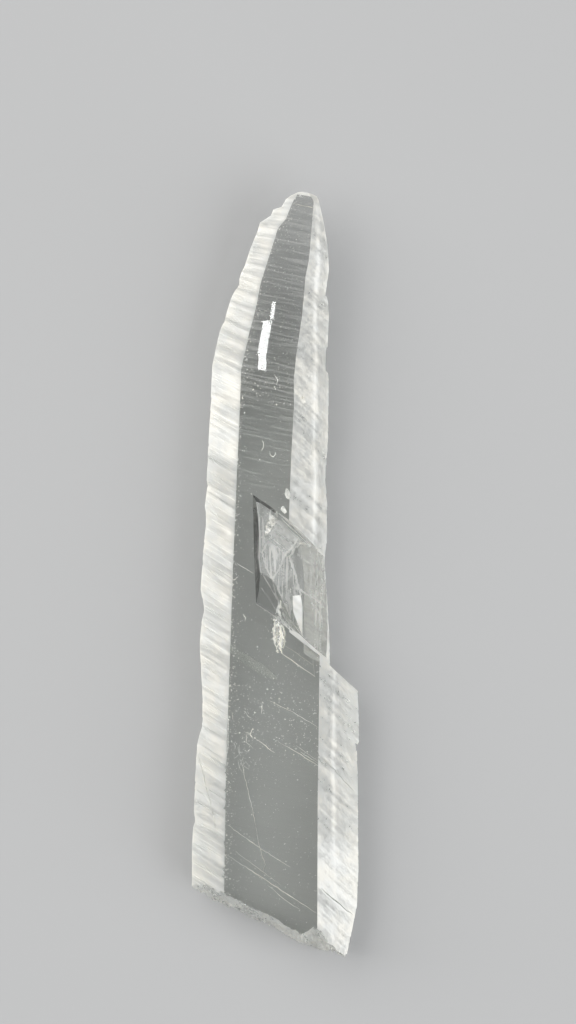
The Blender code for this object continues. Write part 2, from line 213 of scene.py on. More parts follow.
# Parallel ledges on the upper wall of the recess, from the outermost one in.
LEDGE_COUNT = 3
LEDGE_START = (0.36, 7.06)  # where the ledges begin on the front face, and how they run
LEDGE_END = (5.5, 2.30)
LEDGE_SHIFT = (-0.19, -0.21)  # from one ledge to the next
LEDGE_TOPS = (8.45, 5.45)  # height of the outermost ledge at its start and end
LEDGE_DROP = 0.28
LEDGE_LEAN = 0.35  # how far the risers lean out per unit of height
LEDGE_REACH = 4.0  # how far in a ledge's cutting body reaches, in shifts
LEDGE_OVER = 1.0
RISER_SLOPE = 0.6  # a side of a ledge whose normal lies flatter than this is a riser

# Small chips, the same as the solid's: place, length, width and depth, and turn in degrees.
CHIPS = [
    ((1.35, 9.3, 8.5), 1.5, 0.7, 0.5, -80),
    ((0.95, 7.5, 8.5), 1.1, 0.7, 0.5, -60),
    ((5.95, 24.6, 4.5), 3.8, 0.8, 1.2, -87),
    ((2.9, 20.4, 7.7), 2.4, 0.7, 0.4, -50),
    ((5.75, 32.4, 5.2), 1.2, 0.9, 1, -60),
    ((9.3, -19.8, 4.3), 1.3, 0.6, 1, -70),
]
CHIP_CORNERS = 14
CHIP_SEED = 11

# Cracks that reach the surface: width, depth, and path seen from the front.
CRACKS = [
    (0.1, 0.18, [(-0.63, -14.43), (2, -15.75), (5.01, -17.54)]),
    (0.09, 0.15, [(-4.44, 1.35), (-2.55, 0.2)]),
    (0.09, 0.15, [(-2.25, -18.81), (-0.06, -20.42)]),
    (0.12, 0.2, [(0.29, -19.15), (2.6, -20.4), (4.9, -21.92)]),
    (0.08, 0.15, [(2.36, -19.55), (4.9, -21.35)]),
    (0.09, 0.15, [(2.9, -20.35), (4.9, -21.62)]),
    (0.11, 0.2, [(5.3, -20.95), (6.74, -22.4), (9.2, -25.2)]),
    (0.11, 0.18, [(-5.47, -28.71), (-1.56, -31.48), (1.67, -33.55)]),
    (0.14, 0.25, [(-5.7, -32.05), (-0.86, -35.16), (4.78, -38.85)]),
    (0.08, 0.15, [(-4.6, -31.75), (-1.2, -34.2), (0.6, -35.6)]),
    (0.09, 0.15, [(-0.86, -35.6), (1.1, -37.3), (2.82, -38.39)]),
    (0.1, 0.2, [(-3.86, -21.57), (-3.28, -24.22), (-2.71, -26.53), (-2.25, -28.83)]),
    (0.11, 0.2, [(-2.25, -28.83), (-2, -30.6), (-1.56, -32), (-1.2, -33.2), (-1.45, -34)]),
    (0.12, 1.6, [(5.3, -36), (6.7, -37.35), (8.9, -39.2)]),
    (0.22, 0.3, [(0.63, -8.9), (2.6, -10.35), (4.55, -11.66)]),
    (0.08, 0.15, [(1.09, -8.09), (4.32, -10.28)]),
    (0.05, 0.12, [(4.3, -9.6), (4.5, -11.6)]),
    (0.11, 0.15, [(1.95, 42.64), (4.3, 42.2)]),
    (0.1, 0.15, [(-8.81, -20.8), (-7.9, -24.6), (-6.74, -29.4)]),
]
# How slits run: sideways per unit of depth, length of a straight stretch, and how unsteady they are.
SLITS = {"crack": (0.12, 0.45, 0.045), "scratch": (0.0, 0.2, 0.02), "strand": (0.0, 0.24, 0.09),
         "tangle": (0.0, 0.3, 0.02)}
SLIT_NARROWEST = 0.55
SLIT_OVER = 0.3  # how far a slit's cutting body stands out of the surface
CRACK_SEED = 3

# White strands of a fracture, in the recess and below it, with how wide each is and its path.
STRANDS = [
    (0.34, [(0.63, -2.9), (0.45, -3.9), (0.62, -5)]),
    (0.42, [(0.5, -5.7), (0.66, -6.8), (0.5, -7.9), (0.72, -9)]),
    (0.34, [(-0.1, -5.1), (-0.2, -6.6), (-0.05, -7.8), (0.25, -8.7)]),
    (0.2, [(0.3, -3.6), (0.16, -4.4)]),
    (0.22, [(0.24, -5.5), (0.14, -6.8), (0.32, -8.3)]),
    (0.2, [(0.95, -5.9), (1.02, -7.4), (0.86, -8.5)]),
]
STRAND_DEPTH = 0.25
STRAND_GRAINS = 46  # grains along the strands
STRAND_GRAIN_SIZE = (0.14, 0.42)
STRAND_GRAIN_SPREAD = 0.16

# Scratches in the front face, as paths of (x, y).
SCRATCHES = [
    [(-1.55, 15.55), (-1.35, 15.1), (-1.4, 14.6), (-1.62, 14.25)],
    [(-0.63, 14.1), (-0.55, 13.7), (-0.25, 13.55), (-0.02, 13.85), (-0.05, 14.15)],
    [(-3.7, -4.5), (-3.45, -4.85), (-3.5, -5.3)],
    [(-0.2, 23.1), (0.3, 22.4), (0.1, 21.8)],
    [(-2.6, -17.6), (-2.9, -18.3), (-2.5, -18.9)],
    [(-1.5, -14.8), (-1.6, -15.9)],
    [(-8.2, -25.3), (-7.5, -26.2)],
    [(-7.4, -23.2), (-7, -22.9)],
]
SCRATCH_WIDTH = 0.10
SCRATCH_DEPTH = 0.06
# Fine tangled scratches: how many, the box that they lie in, and their longest reach.
TANGLE = (26, (-5.3, -3.2), (-21.5, -15.5), 2.2)
TANGLE_WIDTH = 0.05
TANGLE_WAY = (-1.25, 0.5)  # which way they run, and how much that varies
TANGLE_BEND = 0.6

# Pits and grains on the front face: count, smallest and largest size, and the box that they lie in.
PIT_FIELDS = [
    (34, 0.1, 0.36, (-3.9, 0.8), (19.5, 23.5)),
    (26, 0.09, 0.22, (-3.8, 1.4), (6, 19)),
    (22, 0.09, 0.2, (-0.5, 2.6), (24, 38)),
    (60, 0.09, 0.3, (-5, 4.6), (-21, -13)),
    (26, 0.09, 0.22, (-5, 4.5), (-37, -22)),
    (22, 0.09, 0.22, (-5, 0.5), (-13, -5)),
]
PIT_CORNERS = 8
PIT_FLATNESS = 0.7
PIT_SEED = 5
EDGE_PITS = 190  # pits along the left edge of the front face
EDGE_PIT_REACH = (-36.0, 41.0)
EDGE_PIT_SIZE = (0.07, 0.19)
EDGE_PIT_BAND = (0.04, 0.8)  # how far in from the edge they begin, and how wide their band is

# A fracture and a veil that lie aslant inside the blade: place, length, width, gap, wave, tilt and turn.
LENSES = {
    "fracture": ((0.38, -5.75, 3.6), 6.3, 1.6, 0.09, 0.16, 52.0, 4.0),
    "veil": ((-2.6, -10.2, 5.2), 6.6, 1.3, 0.05, 0.02, 30.0, 57.0),
}
LENS_SEGMENTS = 40
LENS_RINGS = 24
LENS_RAGGED = 0.25
LENS_RAGS = (5.0, 9.0)  # rags of the rim, across and along a lens
LENS_WAVES = (1.6, 0.9)  # waves per millimetre, across and along

# Fine structure.
FINE_PITCH = (0.26, 1.9)  # shortest and longest fine bench on the left bevel
FINE_RISE = 0.075
FINE_WIDTH = (0.15, 0.6)  # narrowest fine bench, and how much wider they get, in bevel widths
FINE_SEED = 7
LEDGE_WIDTH = 0.08  # plan width of the riser at the end of a fine bench
TOOTH_DEPTH = 0.12  # how far the rims are bitten between fine benches
LUMP_RISE = {"bevel": 0.05, "outer": 0.09, "inner": 0.08}
LUMP_GRAIN = 0.55  # lumps per millimetre along the blade
LUMPS_ACROSS = 2.2
LUMP_SLANT = 0.2
LUMP_OCTAVES = (0.8, 2.1, 3)  # fall in height, rise in frequency, and count
TIP_BORDER = 44.12  # the front face is frosted from here to the tip
FIRST_BACK_BEVEL = 2  # place of the left back bevel among the blade's sides
REGULAR_GAP = 0.36  # longest gap between rings of corners
SAME_CUT = 0.03  # rings nearer than this are one
SLACK = 0.01  # leeway where a cut is compared with a place
COLUMNS = {
    "bevel": 17, "rim": 4, "back_bevel": 6, "back": 4, "right_rim": 2, "outer": 10, "inner": 9, "face": 8,
}
CAP_RINGS = [(0.85, 0.5), (0.6, 1), (0.3, 1.3)]  # width and lead of the rings that round off the tip
CAP_LEAD = 0.22
CAP_POINT = 1.4
BREAK_COLUMNS = 96
BREAK_ROWS = 36
BREAK_ROUGHNESS = 0.6
BREAK_HALF_WIDTH = 10.8
BREAK_HALF_HEIGHT = 0.62  # in thicknesses
BREAK_LUMPS = [(0.5, 0.6), (1.3, 0.5), (3.3, 0.35)]  # bumps per millimetre, and their share
BREAK_STEPS = 1.9  # steps per millimetre, and their height
BREAK_STEP = 0.5
BREAK_END = -55.0  # where the block that is cut off at the base ends

# Zones of the surface, with how frosted each is; they are kept in the mesh while it is cut.
FROST = {
    "bevel": 0.88, "rim": 0.95, "back_bevel": 0.45, "back": 0.0, "outer": 0.68, "inner": 0.72, "face": 0.0,
    "tip": 0.03, "break": 0.45, "granular": 0.30, "recess": 0.10, "wall": 0.0, "lower_wall": 0.03,
    "speckled": 1.6, "hatched": 0.16, "window": 0.10, "wedge": 1.2, "ledge": 0.10, "riser": 0.9, "chip": 1.5,
    "crack": 1.05, "pit": 1.4, "fracture": 0.2, "veil": 0.12,
}
ZONES = list(FROST)
MARKS = ("frost_and_highlight", "painted_shade", "specks", "hatch", "lines", "mottle")
# Along the length: extra frosting of the left bevel, a painted highlight as extra frosting along the ridge
# between the right bevels, and extra frosting of both.
LEFT_FROST = [
    (-40, -0.2), (-22, -0.16), (-14, 0), (12, 0.04), (17, 0.2), (22, 0.22), (26, 0),
]
RIDGE_PAINTED_HIGHLIGHT = [
    (-38, 0.2), (-30, 0.5), (-17, 0.6), (-9, 0.2), (3.6, 0.2), (5, 0.8), (12, 0.7), (24, 0.5), (29, 0.6),
    (38, 0.6), (43, 0.1),
]
RIGHT_FROST = [
    (-44, 0.55), (-33, 0.48), (-29, 0.05), (-18, -0.1), (-12, 0.1), (0, 0), (30, 0.05),
]
RIDGE_HIGHLIGHT_WIDTH = 0.26
LEFT_RIM_PAINTED_HIGHLIGHT = (0.3, 0.20)  # extra frosting along an edge: strength and width; along a rim it is a painted highlight
LEFT_EDGE_GLOW = (-0.32, 0.28)
RIGHT_RIM_PAINTED_HIGHLIGHT = (0.4, 0.16)
PAINTED_SHADE = {"tip": 0.36, "ledge": 0.30, "window": 0.05, "lower_wall": 0.34}  # painted shade: how far each zone's colour is darkened towards black
# Painted shade along the length: on the front face and the back, darker towards the tip, and on the recess's
# left wall, almost black.
FACE_PAINTED_SHADE = [(14, 0), (30, 0.28), (44, 0.34)]
WALL_PAINTED_SHADE = [(6.5, 0.965), (8.2, 0.84)]
# Fine marks that break up the zones: specks, cross lines along the cleavage, and an upright hatch.
SPECKS = {"granular": 0.2, "hatched": 0.1, "break": 0.5, "recess": 0.1, "wedge": 0.3}
HATCH = {"hatched": 0.75, "window": 0.16, "recess": 0.28}
MOTTLE = {"inner": 0.75, "outer": 0.6, "bevel": 0.25, "break": 0.5, "speckled": 3.4, "wedge": 0.3}
FACE_LINES = [(-46, 0.08), (8, 0.08), (14, 0.25), (22, 0.42), (41, 0.5), (43, 0.2)]
FACE_SPECKS = [
    (-40, 0.06), (-23, 0.06), (-19.5, 0.16), (-14, 0.13), (-8, 0.06), (18, 0.06), (20.5, 0.16), (24, 0.12),
    (30, 0.1),
]
EDGE_SPECKS = 0.45  # specks at the left edge of the front face
EDGE_SPECK_WIDTH = 0.5

# Material. Noises: bumps per millimetre, octaves, roughness, and how drawn out they are one way.
NOISES = {
    "streaks": (1.1, 8, 0.66, 0.1), "cross": (3.4, 2, 0.6, 0.04), "upright": (2.6, 2, 0.7, 0.07),
    "patches": (0.36, 4, 0.6, 1), "grain": (5, 2, 0.6, 1), "crust": (1.5, 3, 0.65, 1),
}
# What a value is read from and to, and what it is given out from and to.
RANGES = {
    "streaks": (0.35, 0.61, 0.56, 1.2), "patches": (0.35, 0.65, 0.86, 1.06),
    "grain": (0.35, 0.65, 0.92, 1.04), "crust": (0.46, 0.62, 0, 0.34), "lines": (0.48, 0.72, 0, 0.6),
    "hatch": (0.46, 0.66, 0, 0.8), "specks": (0.66, 0.73, 0, 1), "speck_strength": (0, 0.15, 0, 0.85),
    "warmth": (0.4, 0.6, 0, 1), "whiteness": (0.1, 0.7, 0, 1), "clearness": (0, 1.2, 1, 0.04),
    "roughness": (0, 0.4, 0.015, 0.45),
}
FACE_LINE_SLOPE = 0.22
SPECK_SPREAD = 0.14  # how many more grains turn into specks where specks are strong
BUMP = 0.035
BUMP_GRAIN = 0.4
IOR = 1.58
ABSORBED = (0.88, 0.92, 0.905)
ABSORPTION = 9.0
CLEAR_TINT = (0.985, 1.0, 0.975)
FROSTED_COOL = (0.95, 0.96, 0.93)
FROSTED_WARM = (0.99, 0.975, 0.905)
BLACK = (0.0, 0.0, 0.0)

# Studio, in metres: lamps with their place, size, power and colour.
FLOOR_LOOK = {"Base Color": (0.50, 0.505, 0.51, 1.0), "Roughness": 0.9, "Specular IOR Level": 0.2}
FLOOR_SIZE = 1.5
FLOOR_GAP = 0.03 * MM
LAMPS = {
    "key": ((-0.55, 0.30, 0.50), (0.85, 1.0), 5.1, (1.0, 0.985, 0.96)),
    "fill": ((0.5, -0.25, 0.4), (0.65, 0.85), 2.9, (0.98, 0.99, 1.0)),
}
WORLD_STRENGTH = 0.50

# Camera. The picture is 1024 pixels high, and one pixel spans 0.1152 mm at the blade.
PIXEL = 0.1152
PICTURE_HEIGHT = 1024
SENSOR = 36.0
CAMERA_DISTANCE = 900.0
CLIP_START = 10.0
VIEW_PLANE = 5.0  # height at which a pixel spans that much
BLADE_OFFSET = (-12.5, -62.75)  # pixels from the picture's centre to the blade's, right and up

# Narrow lamps mirrored in the front face: middle and size of the image, its turn in degrees, and
# the place that tells which of the face's two slopes mirrors it.
STREAKS = [
    ((-1.33, 26.35), (0.95, 5.7), -5, (-1.5, 23)),
    ((-1.33, 26.35), (0.95, 5.7), -5, (-1.3, 27)),
    ((-0.3, 30.35), (0.4, 2), -3, (-0.4, 30.3)),
]
STREAK_HEIGHT = 45.0
STREAK_RADIANCE = 16.0
SLOPE_STEP = 0.01


scene = bpy.context.scene


def value_at(outline, place):
    """Value of an outline, a list of (place, value), held level past its ends."""
    places, values = zip(*outline)
    return np.interp(place, places, values)


def faded(share):
    """A share that fades no further than LEAST_SHARE."""
    return LEAST_SHARE + (1.0 - LEAST_SHARE) * share


def cleavage_y(cut, x, depth):
    """Place along the length of the cleavage plane called cut, at one width and depth."""
    fold = value_at(CLEAVAGE_FOLD, cut)
    past_fold = np.maximum(x - fold, 0.0)
    along = cut - value_at(CLEAVAGE_SLOPE, cut) * np.minimum(x, fold)
    return along - FOLD_SLOPE * past_fold - CLEAVAGE_LEAN * depth


def thickness_at(cut):
    return value_at(FRONT_HEIGHT, cut) - value_at(BACK_HEIGHT, cut)


def halve(below, shape):
    """Solve by halving for the value, elementwise, at which below(value) turns false."""
    low, high = np.full(shape, -SEARCH_REACH), np.full(shape, SEARCH_REACH)
    for _ in range(HALVINGS):
        middle = (low + high) / 2
        under = below(middle)
        low, high = np.where(under, middle, low), np.where(under, high, middle)
    return low


def cut_through(x, y, depth):
    """The cleavage plane through each point, where depth is in millimetres below the front face."""
    x, y, depth = np.broadcast_arrays(x, y, depth)
    return halve(lambda cut: cleavage_y(cut, x, depth) < y, x.shape)


def outline_x(outline, cut, depth):
    """Width at which each cleavage plane meets an outline."""
    y = halve(lambda place: cleavage_y(cut, value_at(outline, place), depth) > place, cut.shape)
    return value_at(outline, y)


def section_lines(cut):
    """Width of the blade's long edges on each cleavage plane."""
    thick = thickness_at(cut)
    lines = {}
    for name, (lower, upper, share) in EDGES.items():
        low, high = (outline_x(outline, cut, share * thick) for outline in (lower, upper))
        lines[name] = np.where(cut <= SHOULDER_CUT, low, high)
    return lines


def fine_benches():
    """Ledges between the fine benches, as places along the length, and draws for each bench."""
    draw = np.random.default_rng(FINE_SEED)
    ledges = [BASE_CUT]
    while ledges[-1] < TIP_CUT:
        ledges.append(ledges[-1] + math.exp(draw.uniform(*np.log(FINE_PITCH))))
    return np.array(ledges), draw.uniform(0.2, 1.0, (len(ledges), 4))


def coarse_rise(cut, row):
    """Height of the solid's benches at one of its rows of bench corners."""
    bench = np.floor(cut / BENCH_PITCH)
    along = cut / BENCH_PITCH - bench
    drawn = [abs(bump_at(step * BENCH_STEP, row * ROW_STEP, BENCH_SEED)) for step in bench]
    return BENCH_RISE * faded(np.array(drawn)) * along


def fine_rise(cut, across, ledges, draws):
    """Height of the fine benches: each rises to its ledge, and fades out somewhere across the bevel."""
    index = np.clip(np.searchsorted(ledges, cut, side="right") - 1, 0, len(ledges) - 2)
    along = (cut - ledges[index]) / (ledges[index + 1] - ledges[index])
    height, centre, spread = draws[index][:, :3].T
    width = FINE_WIDTH[0] + FINE_WIDTH[1] * spread
    share = np.exp(-((across - centre[:, None]) / width[:, None]) ** 2)
    return FINE_RISE * (height * along)[:, None] * share


def bump_at(*place):
    return noise.noise(Vector(place))


def lumps(cut, across, seed):
    """Soft unevenness from -1 to 1 over cut and across."""
    flat = [
        noise.fractal(Vector((c * LUMP_GRAIN, a * LUMPS_ACROSS + c * LUMP_SLANT, seed)), *LUMP_OCTAVES)
        for c in cut for a in across
    ]
    return np.array(flat).reshape(len(cut), len(across))


def stations(ledges):
    """Cleavage planes where the blade gets a ring of corners."""
    cuts = list(np.concatenate([ledges, ledges - LEDGE_WIDTH]))
    for outline, share in ((LEFT_RIM, LEFT_RIM_TOP), (UPPER_RIM, RIGHT_RIM_TOP), (LOWER_RIM, RIGHT_RIM_TOP)):
        for y, x in outline[1:-1]:
            cuts.append(float(cut_through(x, y, share * thickness_at(y))))
    for bench in range(math.ceil(BASE_CUT / BENCH_PITCH), math.floor(TIP_CUT / BENCH_PITCH)):
        cuts += [bench * BENCH_PITCH, bench * BENCH_PITCH - LEDGE_WIDTH]
    cuts += [BASE_CUT, TIP_CUT, TIP_BORDER, FRONT_HEIGHT[0][0], BACK_HEIGHT[0][0], BACK_HEIGHT[1][0]]
    cuts += list(np.arange(BASE_CUT, TIP_CUT, REGULAR_GAP))
    fixed = [SHOULDER_CUT, SHOULDER_CUT + STATION_GAP, FRONT_HEIGHT[1][0]]
    kept = []
    for cut in sorted(cuts):
        crowded = kept and cut - kept[-1] < SAME_CUT
        near_fixed = min(abs(cut - place) for place in fixed) < SAME_CUT
        in_shoulder = fixed[0] < cut < fixed[1]
        if BASE_CUT <= cut <= TIP_CUT and not crowded and not near_fixed and not in_shoulder:
            kept.append(cut)
    return np.array(sorted(kept + fixed))


def bevel_rows(cut, across):
    """Height of the solid's benches, read across the left bevel between its rows of bench corners."""
    rows = (0.0,) + BEVEL_ROWS + (1.0,)
    level = np.zeros(len(cut))
    heights = zip(level, coarse_rise(cut, 0), coarse_rise(cut, 1), level)
    return np.array([np.interp(across, rows, height) for height in heights])


def relief(kind, side, cut, across, ledges, draws):
    """How far the surface of one side stands out, over cut and across."""
    rise = np.zeros((len(cut), len(across)))
    if kind == "bevel":
        rise += bevel_rows(cut, across) + fine_rise(cut, across, ledges, draws)
    if kind in LUMP_RISE:
        inside = np.sin(np.pi * across) ** 0.5
        rise += LUMP_RISE[kind] * lumps(cut, across, 3.0 + side) * inside
    if kind == "bevel":
        rise[:, 0] = 0.0
    if kind == "outer":
        rise[:, 0] -= TOOTH_DEPTH * fine_rise(cut, np.array([0.5]), ledges, draws[:, ::-1])[:, 0] / FINE_RISE
    teeth = TOOTH_DEPTH * fine_rise(cut, across + 0.1 * side, ledges, draws) / FINE_RISE
    if kind in ("rim", "right_rim"):
        rise -= teeth
    if side == FIRST_BACK_BEVEL:
        rise -= teeth * (1.0 - across) ** 4
    return rise


def blade_points(cut):
    """Width and depth of every corner on each ring, and the zone of each strip between corners."""
    ledges, draws = fine_benches()
    front = value_at(FRONT_HEIGHT, cut)
    thick = thickness_at(cut)
    scale = thick / THICKNESS
    line = section_lines(cut)
    places = [(kind, line[edge] + offset * scale, share * thick) for kind, edge, offset, share in SIDES]
    xs, depths, zones = [], [], []
    for side, (kind, x, depth) in enumerate(places):
        next_x, next_depth = places[(side + 1) % len(places)][1:]
        count = COLUMNS[kind]
        across = np.arange(count) / count
        run_x, run_depth = (next_x - x)[:, None], (next_depth - depth)[:, None]
        rise = relief(kind, side, cut, across, ledges, draws) * scale[:, None] / np.hypot(run_x, run_depth)
        xs.append(x[:, None] + run_x * across - run_depth * rise)
        depths.append(depth[:, None] + run_depth * across + run_x * rise)
        zones += ["rim" if kind == "right_rim" else kind] * count
    return np.hstack(xs), np.hstack(depths), front, zones


def build_blade():
    """The whole blade as a loft through its cleavage planes, before anything is split out of it."""
    cut = stations(fine_benches()[0])
    x, depth, front, zones = blade_points(cut)
    y = cleavage_y(cut[:, None], x, depth)
    z = front[:, None] - depth
    shape = bmesh.new()
    rings = []
    for ring in np.dstack([x, y, z]) * MM:
        rings.append([shape.verts.new(corner) for corner in ring])
    last = [vert.co.copy() for vert in rings[-1]]
    middle = sum(last, Vector()) / len(last)
    ahead = Vector((0.0, CAP_LEAD * MM, 0.0))
    for share, lead in CAP_RINGS:
        rings.append([shape.verts.new(middle.lerp(corner, share) + lead * ahead) for corner in last])
    for number, (lower, upper) in enumerate(zip(rings, rings[1:]), 1):
        for index in range(len(lower)):
            after = (index + 1) % len(lower)
            face = shape.faces.new((lower[index], lower[after], upper[after], upper[index]))
            zone = "rim" if number >= len(cut) else zones[index]
            if zone == "face" and cut[number - 1] > FRONT_HEIGHT[1][0] - SLACK:
                zone = "rim" if cut[number - 1] > TIP_BORDER - SLACK else "tip"
            face.material_index = ZONES.index(zone)
    for ring, point in ((rings[0], None), (rings[-1], middle + CAP_POINT * ahead)):
        point = point or sum((vert.co for vert in ring), Vector()) / len(ring)
        centre = shape.verts.new(point)
        for first, second in zip(ring, ring[1:] + ring[:1]):
            face = shape.faces.new((first, second, centre))
            face.material_index = ZONES.index("rim")
    bmesh.ops.recalc_face_normals(shape, faces=shape.faces)
    return shape


def paint(shape, zone):
    for face in shape.faces:
        face.material_index = ZONES.index(zone)
    return shape


def build_hull(corners, zone):
    """The convex body around some corners."""
    shape = bmesh.new()
    for corner in corners:
        shape.verts.new(Vector(corner) * MM)
    bmesh.ops.convex_hull(shape, input=shape.verts)
    bmesh.ops.delete(shape, geom=[vert for vert in shape.verts if not vert.link_faces], context="VERTS")
    return paint(shape, zone)


def inside(point, polygon):
    """Whether a point lies inside a polygon, both seen from above."""
    odd = False
    for (x0, y0, *_), (x1, y1, *_) in zip(polygon, polygon[1:] + polygon[:1]):
        if (y0 > point[1]) != (y1 > point[1]) and point[0] < x0 + (point[1] - y0) / (y1 - y0) * (x1 - x0):
            odd = not odd
    return odd


def recess_relief(zone, x, y):
    """Unevenness of the recess floor."""
    if zone == "speckled":
        return SPECKLE_RELIEF * (noise.cell(Vector((x * SPECKLES, y * SPECKLES, 1.0))) - 0.5)
    rise, wide, long, start = RECESS_RELIEF.get(zone, RECESS_RELIEF["recess"])
    return rise * bump_at(x * wide, y * long, start)


def recess_facets():
    """The corners of the recess floor, its lines as pairs of corners, and its facets between the lines."""
    closed = [RECESS_EDGE, SPECKLED_FACET, UPPER_FACET, HATCHED_FACET, WINDOW_FACET, WEDGE_FACET]
    lines = [line + line[:1] for line in closed]
    lines += [LEFT_WALL_FOOT, UPPER_WALL_FOOT, LOWER_WALL_FOOT, LOWER_WALL_BEVEL, LOWER_WALL_SLIVER]
    corners = list(dict.fromkeys(corner for line in lines for corner in line))
    places = [[corners.index(corner) for corner in line] for line in lines]
    edges = [edge for line in places for edge in zip(line, line[1:])]
    flat = [Vector(corner[:2]) for corner in corners]
    facets = delaunay_2d_cdt(flat, edges, [], INSIDE_ONLY, MERGE)[2]
    return np.array(corners), sorted({tuple(sorted(edge)) for edge in edges}), np.array(facets)


def height_on(corners, facets, x, y):
    """Height of the facets under each point."""
    height = np.full(x.shape, THICKNESS)
    for (x0, y0, z0), (x1, y1, z1), (x2, y2, z2) in corners[facets]:
        area = (x1 - x0) * (y2 - y0) - (x2 - x0) * (y1 - y0)
        first = ((x - x0) * (y2 - y0) - (x2 - x0) * (y - y0)) / area
        second = ((x1 - x0) * (y - y0) - (x - x0) * (y1 - y0)) / area
        under = (first > -1e-6) & (second > -1e-6) & (first + second < 1.0 + 1e-6)
        height[under] = (z0 + first * (z1 - z0) + second * (z2 - z0))[under]
    return height


def recess_points(corners, edges):
    """Points along every line of the recess, then points that fill the facets between them."""
    points, runs = [corner[:2] for corner in corners], []
    for start, end in edges:
        first, way = points[start], points[end] - points[start]
        count = max(1, math.ceil(math.hypot(*way) / RECESS_GRAIN))
        run = [start] + [len(points) + step for step in range(count - 1)] + [end]
        points += [first + way * step / count for step in range(1, count)]
        runs += list(zip(run, run[1:]))
    on_lines = np.array(points)
    low, high = on_lines.min(axis=0), on_lines.max(axis=0)
    for row, y in enumerate(np.arange(low[1], high[1], ROW_SPACING * RECESS_GRAIN)):
        xs = np.arange(low[0] + 0.5 * RECESS_GRAIN * (row % 2), high[0], RECESS_GRAIN)
        for x in xs:
            clear = np.hypot(*(on_lines - (x, y)).T).min() > 0.5 * RECESS_GRAIN
            if clear and inside((x, y), RECESS_EDGE):
                points.append((x, y))
    return np.array(points), runs


def surface_height(tops, x, y):
    """Height of the upper surface once the recess is open, from the blade and the recess's block."""
    heights = []
    for tree, start, way in zip(tops, (1.0, -1.0), (-1.0, 1.0)):
        spot = tree.ray_cast(Vector((x * MM, y * MM, start)), Vector((0.0, 0.0, way)))[0]
        if spot:
            heights.append(spot.z / MM)
    return min(heights, default=0.0)


def build_recess():
    """Everything that was split out of the recess: a block whose underside is the floor of facets."""
    corners, edges, facets = recess_facets()
    points, runs = recess_points(corners, edges)
    flat = [Vector(point) for point in points]
    faces = delaunay_2d_cdt(flat, runs, [], INSIDE_ONLY, MERGE)[2]
    heights = height_on(corners, facets, *points.T)
    shape = bmesh.new()
    for (x, y), z in zip(points, heights):
        shape.verts.new(Vector((x, y, z)))
    shape.verts.ensure_lookup_table()
    for face in faces:
        face = shape.faces.new([shape.verts[index] for index in face])
        centre = face.calc_center_median()
        zone = next((name for name, facet in RECESS_ZONES if inside(centre, facet)), "recess")
        face.material_index = ZONES.index(zone)
    for vert in shape.verts:
        if not vert.is_boundary:
            zone = ZONES[vert.link_faces[0].material_index]
            vert.co.z += recess_relief(zone, vert.co.x, vert.co.y)
    floor_edge = [edge for edge in shape.edges if edge.is_boundary]
    raised = bmesh.ops.extrude_edge_only(shape, edges=floor_edge)["geom"]
    for item in raised:
        if isinstance(item, bmesh.types.BMVert):
            item.co.z = THICKNESS + RECESS_OVER
        if isinstance(item, bmesh.types.BMFace):
            item.material_index = ZONES.index("recess")
    bmesh.ops.holes_fill(shape, edges=[edge for edge in shape.edges if edge.is_boundary])
    bmesh.ops.scale(shape, vec=(MM, MM, MM), verts=shape.verts)
    bmesh.ops.triangulate(shape, faces=[face for face in shape.faces if len(face.verts) > 4])
    bmesh.ops.recalc_face_normals(shape, faces=shape.faces)
    return shape


def build_ledge(number):
    """One of the parallel ledges on the upper wall of the recess."""
    shift = Vector(LEDGE_SHIFT) * number
    inward = LEDGE_REACH * Vector(LEDGE_SHIFT)
    outward = -LEDGE_LEAN * Vector(LEDGE_SHIFT).normalized()
    top = THICKNESS + LEDGE_OVER
    corners = []
    for end, height in zip((LEDGE_START, LEDGE_END), LEDGE_TOPS):
        foot = Vector(end) + shift
        floor = height - LEDGE_DROP * (number + 0.5)
        corners += [(*foot, floor), (*(foot + inward), floor)]
        corners += [(*(foot + outward * (top - floor)), top), (*(foot + inward), top)]
    shape = build_hull(corners, "ledge")
    shape.normal_update()
    for face in shape.faces:
        if abs(face.normal.z) < RISER_SLOPE:
            face.material_index = ZONES.index("riser")
    return shape


def build_chip(place, length, width, depth, turn):
    """A small irregular flake, sunk in the surface at one place."""
    angle = math.radians(turn)
    corners = []
    for _ in range(CHIP_CORNERS):
        spread = noise.random_unit_vector()
        along, across = spread.x * length / 2, spread.y * width / 2
        x = place[0] + along * math.cos(angle) - across * math.sin(angle)
        y = place[1] + along * math.sin(angle) + across * math.cos(angle)
        corners.append((x, y, place[2] + spread.z * depth))
    return build_hull(corners, "chip")


def walk(path, segment, jitter, draw):
    """Points along a path, evenly spaced and a little unsteady."""
    points = []
    for start, end in zip(path, path[1:]):
        start, end = Vector(start), Vector(end)
        count = max(1, round((end - start).length / segment))
        points += [start.lerp(end, step / count) for step in range(count)]
    points.append(Vector(path[-1]))
    return [point + Vector(draw.uniform(-jitter, jitter, 2)) for point in points]


